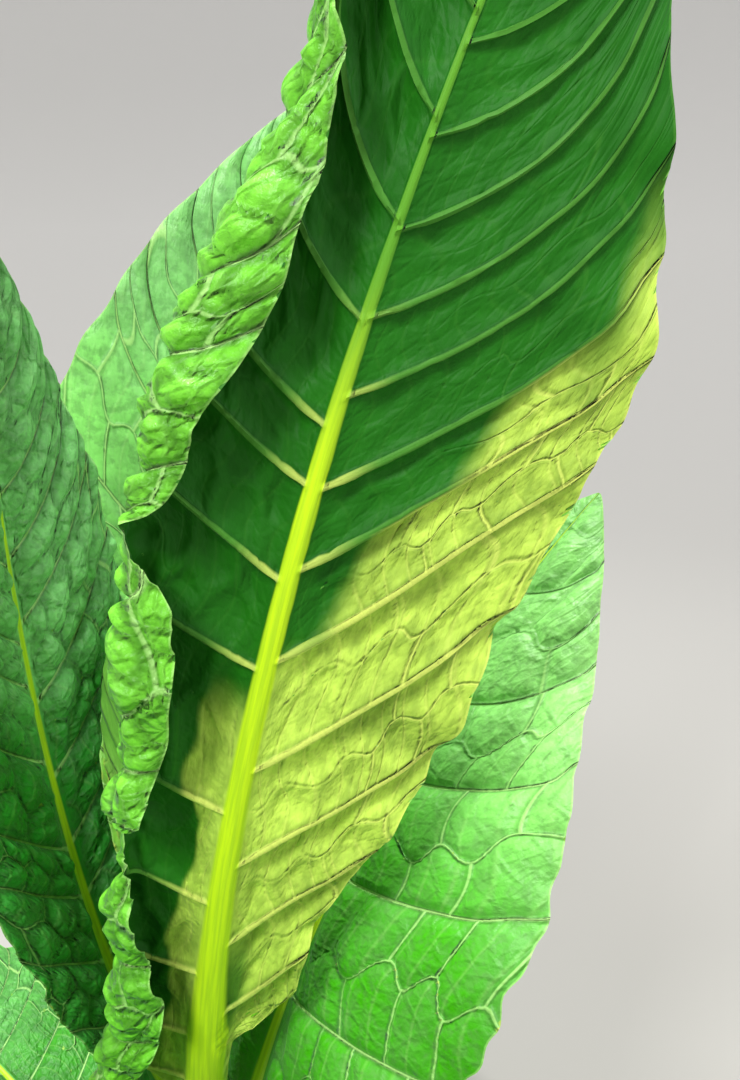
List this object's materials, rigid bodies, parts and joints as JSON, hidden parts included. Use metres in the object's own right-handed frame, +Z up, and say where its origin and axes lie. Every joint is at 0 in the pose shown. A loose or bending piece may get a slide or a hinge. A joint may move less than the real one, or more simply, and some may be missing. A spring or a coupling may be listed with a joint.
{
  "type": "tobacco plant",
  "caption": "Young broad-leaved field plant: an upright green stem with large pointed leaves set in a spiral, the upper ones standing nearly upright.",
  "frame": {"origin": "middle of the flat cut under the stem, at ground level", "axes": "+Z up along the stem; the tall front leaf stands on the -Y side and the right leaf on the +X side"},
  "size_m": [1.0139, 1.0463, 1.3045],
  "materials": {
    "stem": "smooth green stalk, slightly waxy",
    "leaf": "satin green upper side with pale veins, paler yellow-green underside",
    "young_leaf": "soft pale green, slightly downy"
  },
  "bodies": {
    "root": {"stem": "stem", "leaf_front": "leaf", "leaf_back": "leaf", "leaf_left": "leaf", "leaf_right": "leaf", "leaf_lower_1": "leaf", "leaf_lower_2": "leaf", "leaf_lower_3": "leaf", "leaf_lower_4": "leaf", "leaf_lower_5": "leaf", "leaf_lower_6": "leaf", "leaf_lower_7": "leaf", "leaf_lower_8": "leaf", "leaf_lower_9": "leaf", "leaf_lower_10": "leaf", "leaf_lower_11": "leaf", "leaf_young_1": "young_leaf", "leaf_young_2": "young_leaf", "leaf_young_3": "young_leaf", "leaf_young_4": "young_leaf", "leaf_young_5": "young_leaf"}
  },
  "joints": []
}
